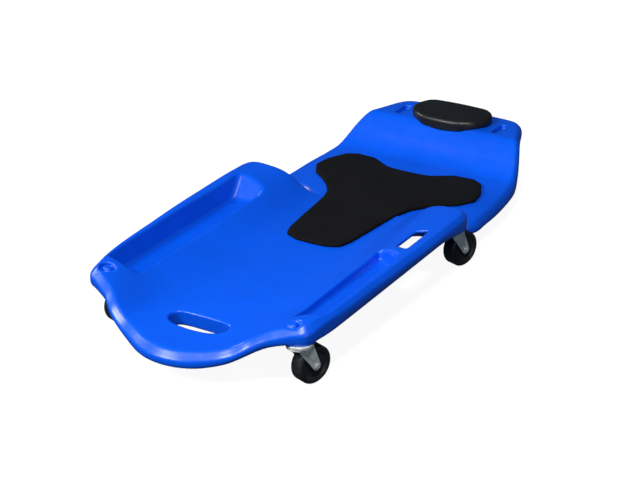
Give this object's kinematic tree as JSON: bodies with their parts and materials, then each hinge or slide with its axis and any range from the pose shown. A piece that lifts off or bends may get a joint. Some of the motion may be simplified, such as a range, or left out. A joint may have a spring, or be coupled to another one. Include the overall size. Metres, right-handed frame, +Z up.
{
  "type": "mechanics creeper",
  "caption": "Low one-piece plastic mechanics creeper with dished bed, side tool trays, hand slots, foam back pad, raised padded headrest and swivel casters.",
  "frame": {"origin": "on the floor, under the middle of the deck's length and width", "axes": "+X to the right of a person lying on it face up, +Y toward the headrest, +Z up"},
  "size_m": [0.46, 1.04, 0.13],
  "materials": {
    "deck_plastic": "satin blow-moulded polyethylene with a fine grain",
    "pad_foam": "closed-cell foam mat with a fine cloth-like face",
    "headrest_cover": "soft grained vinyl over foam",
    "board_wood": "raw plywood",
    "zinc_steel": "bright zinc plate",
    "ball_steel": "polished hard steel",
    "wheel_black": "hard moulded wheel"
  },
  "bodies": {
    "deck": {"deck_shell": "deck_plastic", "back_pad": "pad_foam", "headrest_pad": "headrest_cover", "headrest_board": "board_wood", "headrest_screws": "zinc_steel", "foot_left_socket": "zinc_steel", "foot_left_kingpin": "zinc_steel", "foot_left_raceway": "zinc_steel", "foot_left_balls": "ball_steel", "foot_right_socket": "zinc_steel", "foot_right_kingpin": "zinc_steel", "foot_right_raceway": "zinc_steel", "foot_right_balls": "ball_steel", "head_left_socket": "zinc_steel", "head_left_kingpin": "zinc_steel", "head_left_raceway": "zinc_steel", "head_left_balls": "ball_steel", "head_right_socket": "zinc_steel", "head_right_kingpin": "zinc_steel", "head_right_raceway": "zinc_steel", "head_right_balls": "ball_steel"},
    "foot_left_fork": {"foot_left_fork": "zinc_steel", "foot_left_bushing": "ball_steel", "foot_left_axle": "zinc_steel"},
    "foot_left_wheel": {"foot_left_wheel": "wheel_black"},
    "foot_right_fork": {"foot_right_fork": "zinc_steel", "foot_right_bushing": "ball_steel", "foot_right_axle": "zinc_steel"},
    "foot_right_wheel": {"foot_right_wheel": "wheel_black"},
    "head_left_fork": {"head_left_fork": "zinc_steel", "head_left_bushing": "ball_steel", "head_left_axle": "zinc_steel"},
    "head_left_wheel": {"head_left_wheel": "wheel_black"},
    "head_right_fork": {"head_right_fork": "zinc_steel", "head_right_bushing": "ball_steel", "head_right_axle": "zinc_steel"},
    "head_right_wheel": {"head_right_wheel": "wheel_black"}
  },
  "joints": [
    {"name": "foot_left_swivel", "type": "hinge", "parent": "deck", "child": "foot_left_fork", "pos_m": [-0.178, -0.402, 0.069], "axis": [0, 0, 1], "continuous": true},
    {"name": "foot_left_roll", "type": "hinge", "parent": "foot_left_fork", "child": "foot_left_wheel", "pos_m": [-0.17098, -0.38115, 0.03175], "axis": [0.9478, -0.319, 0], "continuous": true},
    {"name": "foot_right_swivel", "type": "hinge", "parent": "deck", "child": "foot_right_fork", "pos_m": [0.1855, -0.413, 0.069], "axis": [0, 0, 1], "continuous": true},
    {"name": "foot_right_roll", "type": "hinge", "parent": "foot_right_fork", "child": "foot_right_wheel", "pos_m": [0.19252, -0.39215, 0.03175], "axis": [0.9478, -0.319, 0], "continuous": true},
    {"name": "head_left_swivel", "type": "hinge", "parent": "deck", "child": "head_left_fork", "pos_m": [-0.196, 0.076, 0.069], "axis": [0, 0, 1], "continuous": true},
    {"name": "head_left_roll", "type": "hinge", "parent": "head_left_fork", "child": "head_left_wheel", "pos_m": [-0.18898, 0.09685, 0.03175], "axis": [0.9478, -0.319, 0], "continuous": true},
    {"name": "head_right_swivel", "type": "hinge", "parent": "deck", "child": "head_right_fork", "pos_m": [0.196, 0.076, 0.069], "axis": [0, 0, 1], "continuous": true},
    {"name": "head_right_roll", "type": "hinge", "parent": "head_right_fork", "child": "head_right_wheel", "pos_m": [0.20302, 0.09685, 0.03175], "axis": [0.9478, -0.319, 0], "continuous": true}
  ]
}
